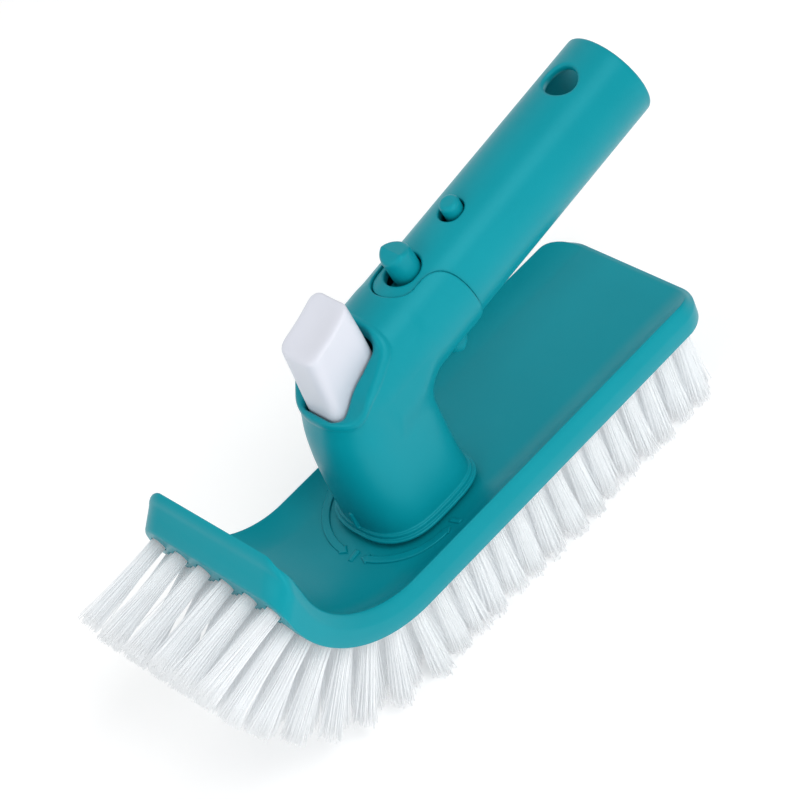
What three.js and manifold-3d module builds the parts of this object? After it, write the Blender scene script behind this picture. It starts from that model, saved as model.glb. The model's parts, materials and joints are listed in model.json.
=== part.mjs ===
// Pool wall brush: a moulded head with one curled end, a swivelling elbow, and a pole spigot with a spring
// clip. Millimetres, +Z up. The origin is on the swivel axis, in the plane of the straight bristles' tips.
// +X runs along the head towards the open end of the spigot; Y runs across the head. Heights below are given
// from the lowest level of the head's dished top, and add() raises each finished piece by LIFT.

import * as THREE from 'three';
import { mergeVertices } from 'three/addons/utils/BufferGeometryUtils.js';
import Module from 'manifold-3d';

const wasm = await Module();
wasm.setup();

// ---------------------------------------------------------------- driving dimensions

const CLEARANCE = 0.3; // gap between neighbouring pieces

// Head: a rounded rectangle in the unrolled plan, dished across its width, rolled up at one end.
const HEAD = {
  endX: 106.1, // straight end
  halfWidth: 30.7,
  endCorner: 10.4, // corner radius at the straight end
  curlCorner: 8.4, // and at the curled end
  rimHeight: 3.6,
  rimInset: 2.3,
  ridgeHeight: -0.8,
  bottom: -6.6,
  flatHalfWidth: 21, // middle of the dish that stays level
  dishPower: 1.6,
};
// The head rolls up through a turn (degrees) and then runs straight on. Its end wall slopes: the ridge and
// the rim reach further than the bottom edge.
const CURL = { startX: -20.1, radius: 34.6, turn: 83, straight: 8, ridgeReach: 5.6, rimReach: 7.7 };
// The rim sinks along the curl (between two turns, in radians) and closes the dish at its end.
const LIP = { drop: 2.2, from: 0.3, to: 1.4, width: 9 };

// Bristles: staggered rows of tufts in blind sockets, each tuft a square post here.
const TUFT = {
  side: 4.4, // square in plan
  sockets: 3.0, // depth of a socket
  length: 31, // visible below the head
  splay: 14, // length over which a tuft stays separate from its neighbours
  pitchAcross: 9.9,
  perWideRow: 6, // the rows between have one fewer
  edgeMargin: 6.4, // from the ends of the underside to the first and last row
  rowPairs: 22,
};

// Swivel post, screwed on a hexagonal boss of the head.
const POST = {
  flangeRadius: 9,
  flangeBottom: -1.2,
  flangeTop: 1.3,
  radius: 6,
  top: 15,
  grooveRadius: 3.8,
  grooveLow: 8.5,
  grooveHigh: 11.5,
  bossRadius: 3.3,
  bossTop: 7.2,
  screwRadius: 1.5,
  headRadius: 3.3,
  headSeat: 12.3,
};

// Raised turn marks round the curled side of the elbow: radii in millimetres, other spans in degrees.
const MARK = {
  inner: 20.2,
  outer: 23.9,
  height: 0.6,
  barInner: 19.8,
  barOuter: 24.5,
  barWidth: 1.5,
  turn: 8, // by which the middle bar stands off the line of the head
  gap: 12, // from a bar to the shaft of the next arrow
  headSpan: 5,
  headStep: 0.5, // by which an arrow's head is wider than its shaft on each side
};

// Elbow (yoke): sections of its column from the foot up, as [z, heel x, front x, half width, heel power].
// A section is a superellipse; the higher its power, the squarer it is.
const COLUMN = [
  [1.9, -16.4, 23.0, 18.7, 2.6],
  [3.0, -16.4, 23.0, 18.7, 2.6],
  [3.1, -15.4, 22.3, 17.7, 2.6],
  [4.4, -15.4, 22.3, 17.7, 2.6],
  [4.5, -14.6, 21.6, 17.0, 2.6],
  [12, -15.2, 21.0, 16.5, 2.5],
  [22, -15.5, 20.7, 16.1, 2.4],
  [31, -15.3, 20.7, 15.9, 2.4],
  [38, -14.4, 20.9, 15.9, 2.4],
  [44, -13.0, 21.0, 15.9, 2.3],
  [49, -12.1, 21.0, 15.9, 2.3],
  [66, -11.8, 21.0, 15.9, 2.3],
];
const FRONT_POWER = 3.6;
const YOKE = {
  cavity: { heel: -11.4, front: 18.4, halfWidth: 9.2 },
  shelf: { low: 30, high: 33 }, // carries the button's spring
  // Rim of the button pocket from the heel to the tube, in X and Z.
  pocketRim: [
    [-7.6, 49.0],
    [-3.1, 53.4],
    [4.2, 57.3],
    [11.3, 61.0],
  ],
};

// Spigot (pole_tube): u runs along its axis from the open end towards the elbow.
const TUBE = {
  openX: 122.1,
  axisHeight: 47.2, // height of the axis above the origin, at X = 0
  rise: 8.2, // degrees
  radius: 15,
  boreRadius: 12,
  length: 108.6,
  reducedFrom: 80.3, // inside the collar the tube is turned down
  reducedRadius: 13.6,
  crossHole: { u: 15.4, radius: 5.2 },
};
const COLLAR = { radius: 15.9, rim: 80.6, end: 119.2, notchEnd: 98.8, notchHalfWidth: 7.6 };

// Pole clip: two sprung arms, each with a small pin and a big thumb button.
const CLIP = {
  hingeU: 42,
  hingeR: 5.6,
  endU: 96,
  endR: 8.9,
  thickness: 2,
  halfWidth: 4,
  // swing: how far a hole runs on towards the elbow, for the arm's arc as it is squeezed
  pin: { u: 65.3, radius: 3.1, top: 18, hole: 3.6, swing: 1.1, tip: 1 },
  thumb: { u: 87.4, radius: 4.6, top: 23, hole: 5.1, swing: 1.4, tip: 2, slot: 3, slotRadius: 3.5 },
};

// Release button, its stem, the latch plate it drives and its return spring.
const BUTTON = {
  outline: [
    [-10.2, 44.5],
    [-9.7, 72.0],
    [9.3, 79.4],
    [10.9, 62.0],
    [10.9, 44.5],
  ],
  halfWidth: 7.5,
  bevel: 2.2,
  travel: 4,
  thumbDish: { x: -7.1, z: 93.0, radius: 20 },
};
const STEM = { x: 8, halfThickness: 1, halfWidth: 3, wedgeTop: 15.5, wedgeBottom: 8.7, slope: 0.525 };
const LATCH = { low: 8.9, high: 11.1, left: -7.2, right: 13.6, halfWidth: 8, holeX: 2.1, holeRadius: 6.3 };
const SPRING = { x: 0.3, radius: 4, wire: 0.55, low: 33.4, high: 44.1, turns: 5 };
const COVER = { low: 2.1, high: 4.3, bore: 6.4, collarRadius: 8.2, collarTop: 8.4, inset: 2.2 };
const BASE_SCREW = { x: 6, y: 11.3, radius: 1.3, headRadius: 2.1, headHeight: 1.1, top: 12 };
const DETENT = { radius: 7.8, nub: 1.1, dimple: 1.7, heel: -12.6, halfWidth: 3, low: 2.4, high: 2.9 };
const POINTER = { heel: -15.8, front: -13.6, halfWidth: 0.7, low: 4.2, high: 10.6 };

const LIFT = TUFT.length - HEAD.bottom; // from the bristles' tips to the lowest level of the dish
const BEYOND = 40; // reach of a cutting tool past everything it cuts

// ---------------------------------------------------------------- materials

function material(color, roughness, metalness = 0) {
  return new THREE.MeshStandardMaterial({ color, roughness, metalness });
}
const TEAL = material(0x0096a5, 0.42);
const WHITE = material(0xe3e6f0, 0.4);
const NYLON = material(0xf2f4f8, 0.5);
const STEEL = material(0xb8bcc0, 0.3, 1);

// ---------------------------------------------------------------- solids

// A closed three.js geometry as a manifold solid, turned right side out.
function solid(geometry) {
  const bare = geometry.clone();
  bare.deleteAttribute('normal');
  bare.deleteAttribute('uv');
  const merged = mergeVertices(bare, 1e-4);
  const vertProperties = new Float32Array(merged.attributes.position.array);
  const triVerts = new Uint32Array(merged.index.array);
  if (signedVolume(vertProperties, triVerts) < 0) {
    for (let i = 0; i < triVerts.length; i += 3) {
      [triVerts[i], triVerts[i + 1]] = [triVerts[i + 1], triVerts[i]];
    }
  }
  return new wasm.Manifold(new wasm.Mesh({ numProp: 3, vertProperties, triVerts }));
}

function signedVolume(position, index) {
  const corner = (i) => new THREE.Vector3().fromArray(position, 3 * index[i]);
  let total = 0;
  for (let i = 0; i < index.length; i += 3) {
    total += corner(i).dot(corner(i + 1).cross(corner(i + 2)));
  }
  return total / 6;
}

function geometryOf(manifold) {
  const mesh = manifold.getMesh();
  const geometry = new THREE.BufferGeometry();
  geometry.setAttribute('position', new THREE.BufferAttribute(new Float32Array(mesh.vertProperties), 3));
  geometry.setIndex(new THREE.BufferAttribute(new Uint32Array(mesh.triVerts), 1));
  geometry.computeVertexNormals();
  return geometry;
}

const join = (first, ...others) => others.reduce((sum, other) => sum.add(other), first);
const cut = (first, ...others) => others.reduce((rest, other) => rest.subtract(other), first);

// An upright cylinder between two heights.
function post(radius, low, high, x = 0, y = 0, sides = 20) {
  const geometry = new THREE.CylinderGeometry(radius, radius, high - low, sides);
  geometry.rotateX(Math.PI / 2);
  geometry.translate(x, y, (low + high) / 2);
  return solid(geometry);
}

function block(x0, x1, y0, y1, z0, z1) {
  const geometry = new THREE.BoxGeometry(x1 - x0, y1 - y0, z1 - z0);
  geometry.translate((x0 + x1) / 2, (y0 + y1) / 2, (z0 + z1) / 2);
  return solid(geometry);
}

// A block, even about Y = 0, with its upright edges rounded.
function roundedBlock(x0, x1, halfWidth, z0, z1, radius) {
  const [left, right, side] = [x0 + radius, x1 - radius, halfWidth - radius];
  const corners = [[left, -side], [right, -side], [right, side], [left, side]];
  return join(
    block(left, right, -halfWidth, halfWidth, z0, z1),
    block(x0, x1, -side, side, z0, z1),
    ...corners.map(([x, y]) => post(radius, z0, z1, x, y, 16)),
  );
}

// A polygon in the X-Z plane, extruded evenly to both sides of Y = 0.
function slab(outline, halfWidth) {
  const shape = new THREE.Shape(outline.map(([x, z]) => new THREE.Vector2(x, z)));
  const geometry = new THREE.ExtrudeGeometry(shape, { depth: 2 * halfWidth, bevelEnabled: false });
  geometry.rotateX(Math.PI / 2);
  geometry.translate(0, halfWidth, 0);
  return solid(geometry);
}

// A solid of revolution about Z from a closed [radius, z] profile that starts and ends on the axis.
function turned(profile, segments = 24) {
  const geometry = new THREE.LatheGeometry(profile.map(([r, z]) => new THREE.Vector2(r, z)), segments);
  geometry.rotateX(Math.PI / 2);
  return solid(geometry);
}

// A closed solid through a stack of loops that have the same number of points.
function loft(loops) {
  const count = loops[0].length;
  const positions = loops.flat().flatMap((p) => [p.x, p.y, p.z]);
  const index = [];
  for (let k = 0; k + 1 < loops.length; k += 1) {
    for (let i = 0; i < count; i += 1) {
      const a = k * count + i;
      const b = k * count + ((i + 1) % count);
      index.push(a, b, b + count, a, b + count, a + count);
    }
  }
  const last = (loops.length - 1) * count;
  for (let i = 1; i + 1 < count; i += 1) {
    index.push(0, i + 1, i);
    index.push(last, last + i, last + i + 1);
  }
  const geometry = new THREE.BufferGeometry();
  geometry.setAttribute('position', new THREE.Float32BufferAttribute(positions, 3));
  geometry.setIndex(index);
  return solid(geometry);
}

const group = new THREE.Group();

function add(name, manifold, finish) {
  const geometry = geometryOf(manifold);
  geometry.translate(0, 0, LIFT);
  const mesh = new THREE.Mesh(geometry, finish);
  mesh.name = name;
  group.add(mesh);
}

// ---------------------------------------------------------------- head surface

const FULL_TURN = THREE.MathUtils.degToRad(CURL.turn);
// Bottom edge of the curled end, in unrolled length.
const HEAD_START = CURL.startX - CURL.radius * FULL_TURN - CURL.straight;

// Turn of the head at unrolled length s.
function turnAt(s) {
  return THREE.MathUtils.clamp((CURL.startX - s) / CURL.radius, 0, FULL_TURN);
}

// The point at unrolled length s, across w, and height h above the dish level.
function place(s, w, h) {
  const turn = turnAt(s);
  const straight = CURL.startX - s - turn * CURL.radius; // past the roll, or (negative) before it
  const reach = CURL.radius - h;
  const x = CURL.startX - reach * Math.sin(turn) - straight * Math.cos(turn);
  return new THREE.Vector3(x, w, CURL.radius - reach * Math.cos(turn) + straight * Math.sin(turn));
}

// Height of the dished top surface at an unrolled position.
function topHeight(s, w) {
  const rim = HEAD.rimHeight - LIP.drop * THREE.MathUtils.smoothstep(turnAt(s), LIP.from, LIP.to);
  const rimWidth = HEAD.halfWidth - HEAD.rimInset;
  const towardsSide = (Math.abs(w) - HEAD.flatHalfWidth) / (rimWidth - HEAD.flatHalfWidth);
  const towardsEnd = 1 - (s - HEAD_START + CURL.rimReach) / LIP.width;
  const share = THREE.MathUtils.clamp(Math.max(towardsSide, towardsEnd), 0, 1);
  return rim * share ** HEAD.dishPower;
}

// Stations along one long side of the plan outline: [s, half width] from the curled to the straight end.
// The outline is drawn in by inset, but at the curled end it reaches past the bottom edge.
function sideStations(inset, reach) {
  const cornerSteps = 4;
  const curlSteps = 8;
  const stations = [];
  const corner = (centreS, alongRadius, outerRadius, k) => {
    const angle = (k / cornerSteps) * (Math.PI / 2);
    const w = HEAD.halfWidth - outerRadius + (outerRadius - inset) * Math.sin(angle);
    stations.push([centreS + alongRadius * Math.cos(angle), w]);
  };
  const startCentre = HEAD_START - reach + HEAD.curlCorner;
  const endCentre = HEAD.endX - HEAD.endCorner;
  for (let k = 0; k <= cornerSteps; k += 1) corner(startCentre, -HEAD.curlCorner, HEAD.curlCorner, k);
  for (let k = 1; k <= curlSteps; k += 1) {
    const s = startCentre + (k / curlSteps) * (CURL.startX - startCentre);
    stations.push([s, HEAD.halfWidth - inset]);
  }
  stations.push([(CURL.startX + endCentre) / 2, HEAD.halfWidth - inset]);
  for (let k = cornerSteps; k >= 0; k -= 1) corner(endCentre, HEAD.endCorner - inset, HEAD.endCorner, k);
  return stations;
}

// The head's blank: a grid over the top, a grid over the bottom, and bands down the edge between them.
function headBlank() {
  const across = 10;
  const positions = [];
  const index = [];
  const vertex = (p) => positions.push(p.x, p.y, p.z) / 3 - 1;
  const quad = (a, b, c, d) => index.push(a, b, c, a, c, d);

  function grid(inset, reach, height) {
    return sideStations(inset, reach).map(([s, half]) => {
      const row = [];
      for (let j = 0; j <= across; j += 1) {
        const w = -half + (2 * half * j) / across;
        row.push(vertex(place(s, w, height(s, w))));
      }
      return row;
    });
  }
  function perimeter(rows) {
    const last = rows.length - 1;
    const right = rows.slice(0, last).map((row) => row[0]);
    const end = rows[last].slice(0, across);
    const left = rows.slice(1).reverse().map((row) => row[across]);
    const start = rows[0].slice(1).reverse();
    return [...right, ...end, ...left, ...start];
  }
  function band(upper, lower) {
    for (let i = 0; i < upper.length; i += 1) {
      const j = (i + 1) % upper.length;
      quad(upper[i], lower[i], lower[j], upper[j]);
    }
  }

  const top = grid(HEAD.rimInset, CURL.rimReach, topHeight);
  const bottom = grid(0, 0, () => HEAD.bottom);
  for (let i = 0; i + 1 < top.length; i += 1) {
    for (let j = 0; j < across; j += 1) {
      quad(top[i][j], top[i + 1][j], top[i + 1][j + 1], top[i][j + 1]);
      quad(bottom[i][j], bottom[i][j + 1], bottom[i + 1][j + 1], bottom[i + 1][j]);
    }
  }
  const ridge = perimeter(grid(0, CURL.ridgeReach, () => HEAD.ridgeHeight));
  band(perimeter(top), ridge);
  band(ridge, perimeter(bottom));

  const geometry = new THREE.BufferGeometry();
  geometry.setAttribute('position', new THREE.Float32BufferAttribute(positions, 3));
  geometry.setIndex(index);
  return solid(geometry.toNonIndexed()); // drops the ridge grid's inner vertices
}

// ---------------------------------------------------------------- bristles

const BOTTOM_RADIUS = CURL.radius - HEAD.bottom;

// Unrolled length at the dish level for a distance measured along the underside.
function fromUnderside(t) {
  const rolled = THREE.MathUtils.clamp(CURL.startX - t, 0, BOTTOM_RADIUS * FULL_TURN);
  return t + rolled * (1 - CURL.radius / BOTTOM_RADIUS);
}

const firstRow = CURL.startX - BOTTOM_RADIUS * FULL_TURN - CURL.straight + TUFT.edgeMargin;
const lastRow = HEAD.endX - TUFT.edgeMargin;
const rowCount = 2 * TUFT.rowPairs;
const rowPitch = (lastRow - firstRow) / (rowCount - 1);

function tuftRow(k) {
  const count = TUFT.perWideRow - (k % 2);
  const s = fromUnderside(firstRow + k * rowPitch);
  const tufts = [];
  for (let j = 0; j < count; j += 1) {
    tufts.push([s, (j - (count - 1) / 2) * TUFT.pitchAcross]);
  }
  return tufts;
}

// A square post moved onto the head, standing along the local normal between two heights.
function postOnHead(s, w, side, low, high) {
  const geometry = new THREE.BoxGeometry(side, side, high - low);
  geometry.translate(0, 0, (low + high) / 2);
  const matrix = new THREE.Matrix4().makeRotationY(turnAt(s));
  matrix.setPosition(place(s, w, 0));
  geometry.applyMatrix4(matrix);
  return solid(geometry);
}

function bristlePair(pair) {
  const tips = HEAD.bottom - TUFT.length;
  const merge = HEAD.bottom - TUFT.splay;
  const root = HEAD.bottom + TUFT.sockets - CLEARANCE;
  const rows = [tuftRow(2 * pair), tuftRow(2 * pair + 1)];
  const tufts = rows.flat().map(([s, w]) => postOnHead(s, w, TUFT.side, merge - 1, root));
  const outermost = (TUFT.pitchAcross * (TUFT.perWideRow - 1)) / 2;
  const reach = (HEAD.halfWidth + outermost) / 2;
  const first = firstRow + (2 * pair - 0.5) * rowPitch;
  const s0 = fromUnderside(first) + CLEARANCE / 2;
  const s1 = fromUnderside(first + 2 * rowPitch) - CLEARANCE / 2;
  const loop = (h) => [place(s0, -reach, h), place(s1, -reach, h), place(s1, reach, h), place(s0, reach, h)];
  return join(loft([loop(tips), loop(merge)]), ...tufts);
}

// ---------------------------------------------------------------- brush plate

// A raised band between two radii that follows the dish from one angle to another (degrees).
function raisedArc(inner, outer, from, to, steps) {
  const loops = [];
  for (let k = 0; k <= steps; k += 1) {
    const angle = THREE.MathUtils.degToRad(from + ((to - from) * k) / steps);
    const at = (r, h) => new THREE.Vector3(r * Math.cos(angle), r * Math.sin(angle), h);
    const surface = (r) => topHeight(0, r * Math.sin(angle));
    loops.push([
      at(inner, surface(inner) - 1),
      at(outer, surface(outer) - 1),
      at(outer, surface(outer) + MARK.height),
      at(inner, surface(inner) + MARK.height),
    ]);
  }
  return loft(loops);
}

// Three bars a quarter turn apart, and a double-headed arrow between each pair.
function ringMarks() {
  const middle = (MARK.inner + MARK.outer) / 2;
  const halfBar = THREE.MathUtils.radToDeg(MARK.barWidth / middle) / 2;
  const bars = [90, 180, 270].map((degrees) => degrees + MARK.turn);
  const marks = bars.map((bar) => raisedArc(MARK.barInner, MARK.barOuter, bar - halfBar, bar + halfBar, 1));
  for (const bar of bars.slice(0, -1)) {
    const from = bar + MARK.gap;
    const to = bar + 90 - MARK.gap;
    marks.push(raisedArc(MARK.inner + MARK.headStep, MARK.outer - MARK.headStep, from, to, 6));
    marks.push(arrowHead(middle, from - MARK.headSpan, from + 0.5));
    marks.push(arrowHead(middle, to + MARK.headSpan, to - 0.5));
  }
  return marks;
}

function arrowHead(middle, tip, base) {
  const half = MARK.outer - middle;
  const at = (r, degrees, h) => {
    const angle = THREE.MathUtils.degToRad(degrees);
    const surface = topHeight(0, r * Math.sin(angle));
    return new THREE.Vector3(r * Math.cos(angle), r * Math.sin(angle), surface + h);
  };
  const loop = (h) => [at(middle - half, base, h), at(middle + half, base, h), at(middle, tip, h)];
  return loft([loop(-1), loop(MARK.height)]);
}

function brushPlate() {
  const sockets = [];
  for (let k = 0; k < rowCount; k += 1) {
    for (const [s, w] of tuftRow(k)) {
      const side = TUFT.side + 2 * CLEARANCE;
      sockets.push(postOnHead(s, w, side, HEAD.bottom - 1, HEAD.bottom + TUFT.sockets));
    }
  }
  const seat = post(POST.flangeRadius + CLEARANCE, POST.flangeBottom - CLEARANCE, 10);
  const boss = post(POST.bossRadius, HEAD.bottom + TUFT.sockets + 1, POST.bossTop, 0, 0, 6);
  const screwHole = post(POST.screwRadius + CLEARANCE, 0.7, POST.bossTop + 1, 0, 0, 16);
  const body = cut(join(headBlank(), ...ringMarks()), seat);
  return cut(join(body, boss), screwHole, ...sockets);
}

// ---------------------------------------------------------------- swivel post

function swivelPost() {
  const p = POST;
  const body = turned([
    [0, p.flangeBottom],
    [p.flangeRadius, p.flangeBottom],
    [p.flangeRadius, p.flangeTop],
    [p.radius, p.flangeTop],
    [p.radius, p.grooveLow],
    [p.grooveRadius, p.grooveLow],
    [p.grooveRadius, p.grooveHigh],
    [p.radius, p.grooveHigh],
    [p.radius, p.top - 1],
    [p.radius - 1, p.top],
    [0, p.top],
  ]);
  const bossBore = post(p.bossRadius + CLEARANCE * 1.16, p.flangeBottom - 1, p.bossTop + CLEARANCE, 0, 0, 6);
  const screwBore = post(p.screwRadius + CLEARANCE, p.bossTop - 1, p.top + 1, 0, 0, 16);
  const headBore = post(p.headRadius + CLEARANCE, p.headSeat - CLEARANCE, p.top + 1);
  const dimples = [0, 90, 180, 270].map((degrees) => {
    const angle = THREE.MathUtils.degToRad(degrees);
    const x = DETENT.radius * Math.cos(angle);
    const y = DETENT.radius * Math.sin(angle);
    return post(DETENT.dimple, p.flangeTop - 0.8, p.flangeTop + 1, x, y, 12);
  });
  return cut(body, bossBore, screwBore, headBore, ...dimples);
}

// A pan-head screw pointing down, with a cross recess in its head.
function screw(radius, headRadius, tip, seat, headHeight, x = 0, y = 0) {
  const shank = post(radius, tip, seat + 0.1, x, y, 12);
  const head = post(headRadius, seat, seat + headHeight, x, y, 16);
  const recess = crossRecess(headRadius, x, y, seat + headHeight / 2, seat + headHeight + 1);
  return cut(join(shank, head), ...recess);
}

function crossRecess(headRadius, x, y, low, high) {
  const long = headRadius * 0.6;
  const short = headRadius * 0.16;
  return [
    block(x - long, x + long, y - short, y + short, low, high),
    block(x - short, x + short, y - long, y + long, low, high),
  ];
}

// ---------------------------------------------------------------- frame of the spigot

const RISE = THREE.MathUtils.degToRad(TUBE.rise);
const ALONG = new THREE.Vector3(Math.cos(RISE), 0, Math.sin(RISE));
const NORMAL = new THREE.Vector3(-Math.sin(RISE), 0, Math.cos(RISE));
const OPEN_END = new THREE.Vector3(TUBE.openX, 0, TUBE.axisHeight + TUBE.openX * Math.tan(RISE));

// Local axes of a spigot piece: x is u (from the open end to the elbow), z is the radial direction up.
const SPIGOT = new THREE.Matrix4()
  .makeBasis(ALONG.clone().negate(), new THREE.Vector3(0, -1, 0), NORMAL)
  .setPosition(OPEN_END);

function onSpigot(manifold) {
  const geometry = geometryOf(manifold);
  geometry.applyMatrix4(SPIGOT);
  return solid(geometry);
}

// A cylinder along u.
function rod(radius, from, to, sides = 28) {
  const geometry = new THREE.CylinderGeometry(radius, radius, to - from, sides);
  geometry.rotateZ(Math.PI / 2);
  geometry.translate((from + to) / 2, 0, 0);
  return solid(geometry);
}

// The outline of the collar's U notch, top and bottom, grown or shrunk by an offset.
function notch(offset) {
  const half = COLLAR.notchHalfWidth + offset;
  const end = COLLAR.notchEnd - COLLAR.notchHalfWidth;
  return join(post(half, -20, 20, end, 0, 24), block(COLLAR.rim - 6, end, -half, half, -20, 20));
}

function poleTube() {
  const outer = join(
    rod(TUBE.radius, 0, TUBE.reducedFrom),
    rod(TUBE.reducedRadius, TUBE.reducedFrom - 1, TUBE.length),
    rod(TUBE.radius, TUBE.reducedFrom - 1, COLLAR.notchEnd + 2).intersect(notch(-CLEARANCE)),
  );
  const bore = rod(TUBE.boreRadius, -1, TUBE.length + 1);
  const crossHole = post(TUBE.crossHole.radius, -20, 20, TUBE.crossHole.u, 0, 20);
  const slotEnd = post(CLIP.thumb.slotRadius, -20, 20, CLIP.thumb.u + CLIP.thumb.slot, 0, 16);
  return onSpigot(cut(outer, bore, crossHole, slotEnd, ...swingHole(CLIP.pin), ...swingHole(CLIP.thumb)));
}

// A hole for a pin or thumb button, run on towards the elbow so that the arm can swing in.
function swingHole({ u, hole, swing }) {
  return [post(hole, -20, 20, u, 0, 20), post(hole, -20, 20, u + swing, 0, 20),
    block(u, u + swing, -hole, hole, -20, 20)];
}

// ---------------------------------------------------------------- pole clip

// side is +1 for the arm with its pins on top of the tube, -1 for the one below.
function clipArm(side) {
  const slope = (CLIP.endR - CLIP.hingeR) / (CLIP.endU - CLIP.hingeU);
  const half = CLIP.thickness / 2;
  const r = (u) => CLIP.hingeR + slope * (u - CLIP.hingeU);
  const start = CLIP.hingeU + CLEARANCE / 2;
  const outline = [
    [start, r(start) - half],
    [CLIP.endU, r(CLIP.endU) - half],
    [CLIP.endU, r(CLIP.endU) + half],
    [start, r(start) + half],
  ];
  const stud = ({ u, radius, top, tip }) => join(
    post(radius, r(u), top - tip, u, 0, 20),
    coneTip(radius, top - tip, top, u),
  );
  const arm = join(slab(outline, CLIP.halfWidth), stud(CLIP.pin), stud(CLIP.thumb));
  return onSpigot(side > 0 ? arm : arm.rotate([180, 0, 0]));
}

function coneTip(radius, low, high, u) {
  const geometry = new THREE.CylinderGeometry(radius * 0.62, radius, high - low + 0.02, 20);
  geometry.rotateX(Math.PI / 2);
  geometry.translate(u, 0, (low + high) / 2 - 0.01);
  return solid(geometry);
}

function clipBow() {
  const steps = 12;
  const loops = [];
  for (let k = 0; k <= steps; k += 1) {
    const angle = Math.PI / 2 + (Math.PI * k) / steps;
    const at = (radius, y) => {
      const u = CLIP.hingeU - CLEARANCE / 2 + radius * Math.cos(angle);
      return new THREE.Vector3(u, y, radius * Math.sin(angle));
    };
    const inner = CLIP.hingeR - CLIP.thickness / 2;
    const outer = CLIP.hingeR + CLIP.thickness / 2;
    const w = CLIP.halfWidth;
    loops.push([at(inner, -w), at(outer, -w), at(outer, w), at(inner, w)]);
  }
  return onSpigot(loft(loops));
}

// ---------------------------------------------------------------- yoke

// A plan section of the column: rounder at the heel, squarer at the front.
function columnLoop([z, heel, front, half, heelPower], offset = 0) {
  const points = [];
  const count = 28;
  const centre = (heel + front) / 2;
  for (let i = 0; i < count; i += 1) {
    const angle = (2 * Math.PI * i) / count;
    const c = Math.cos(angle);
    const s = Math.sin(angle);
    const power = 2 / (c > 0 ? FRONT_POWER : heelPower);
    const x = centre + ((front - heel) / 2 - offset) * Math.sign(c) * Math.abs(c) ** power;
    const y = (half - offset) * Math.sign(s) * Math.abs(s) ** power;
    points.push(new THREE.Vector3(x, y, z));
  }
  return points;
}

function columnAt(z) {
  const next = COLUMN.findIndex((row) => row[0] >= z);
  if (next <= 0) {
    return [z, ...COLUMN[0].slice(1)];
  }
  const [low, high] = [COLUMN[next - 1], COLUMN[next]];
  const t = (z - low[0]) / (high[0] - low[0]);
  return [z, ...[1, 2, 3, 4].map((i) => low[i] + t * (high[i] - low[i]))];
}

function yoke() {
  return cut(join(cut(yokeBody(), aboveRim()), pointerRib()), ...yokeHollows());
}

function yokeBody() {
  const column = loft(COLUMN.map((row) => columnLoop(row)));
  // Above the tube's axis the column is rounded over like the collar.
  const shoulder = join(rod(COLLAR.radius, COLLAR.rim - BEYOND, COLLAR.end + BEYOND),
    block(COLLAR.rim - BEYOND, COLLAR.end + BEYOND, -BEYOND, BEYOND, -3 * BEYOND, 0));
  const collar = rod(COLLAR.radius, COLLAR.rim, COLLAR.end);
  return join(column.intersect(onSpigot(shoulder)), onSpigot(collar));
}

// Everything above the rim of the button's pocket, which is level at the heel and climbs to the tube.
function aboveRim() {
  const rim = YOKE.pocketRim;
  const [heelX, heelZ] = rim[0];
  const [frontX] = rim[rim.length - 1];
  const top = 100;
  return slab([[heelX - BEYOND, heelZ], ...rim, [frontX, top], [heelX - BEYOND, top]], BEYOND);
}

function yokeHollows() {
  const { heel, front, halfWidth } = YOKE.cavity;
  const { shelf } = YOKE;
  const gap = CLEARANCE + 0.1;
  const outline = BUTTON.outline.map(([x]) => x);
  const [pocketLeft, pocketRight] = [Math.min(...outline) - gap, Math.max(...outline.slice(3)) + gap];
  const pocketFloor = BUTTON.outline[0][1] - BUTTON.travel - gap;
  const pocketHalf = BUTTON.halfWidth + gap;
  const slotHalf = STEM.halfWidth + 0.6;
  const section = columnAt(COVER.high).slice(1);
  const recessInset = COVER.inset - CLEARANCE;
  return [
    block(heel, front, -halfWidth, halfWidth, 0, shelf.low),
    block(heel + 2.2, pocketRight, -halfWidth, halfWidth, shelf.high, pocketFloor + 1),
    roundedBlock(pocketLeft, pocketRight, pocketHalf, pocketFloor, 90, BUTTON.bevel + gap),
    block(STEM.x - 2, STEM.x + 2, -slotHalf, slotHalf, shelf.low - 1, shelf.high + 1),
    onSpigot(rod(TUBE.reducedRadius + CLEARANCE, COLLAR.rim - 1, TUBE.length + CLEARANCE)),
    onSpigot(rod(TUBE.boreRadius, TUBE.length, COLLAR.end)),
    onSpigot(notch(0).intersect(block(60, 110, -12, 12, -20, 20))),
    loft([0, COVER.high + CLEARANCE].map((z) => columnLoop([z, ...section], recessInset))),
    ...baseScrewPlaces().map(([x, y]) => (
      post(BASE_SCREW.radius + CLEARANCE, 0, BASE_SCREW.top + CLEARANCE, x, y, 12)
    )),
  ];
}

function pointerRib() {
  return block(POINTER.heel, POINTER.front, -POINTER.halfWidth, POINTER.halfWidth, POINTER.low, POINTER.high);
}

function baseScrewPlaces() {
  const { x, y } = BASE_SCREW;
  return [[-x, -y], [x, -y], [x, y], [-x, y]];
}

// ---------------------------------------------------------------- parts inside the foot

function baseCover() {
  const section = columnAt(COVER.high).slice(1);
  const plate = loft([COVER.low, COVER.high].map((z) => columnLoop([z, ...section], COVER.inset)));
  const collar = post(COVER.collarRadius, COVER.high - 0.5, COVER.collarTop);
  const bore = post(COVER.bore, 0, 20);
  const slotHalf = DETENT.halfWidth + CLEARANCE;
  const leafSlot = block(DETENT.heel - 0.4, -5, -slotHalf, slotHalf, 0, DETENT.high + CLEARANCE);
  const holes = baseScrewPlaces().flatMap(([x, y]) => [
    post(BASE_SCREW.radius + CLEARANCE, 0, 5, x, y, 12),
    post(BASE_SCREW.headRadius + CLEARANCE, 0, COVER.low + BASE_SCREW.headHeight + CLEARANCE, x, y, 16),
  ]);
  return cut(join(plate, collar), bore, leafSlot, ...holes);
}

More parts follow.
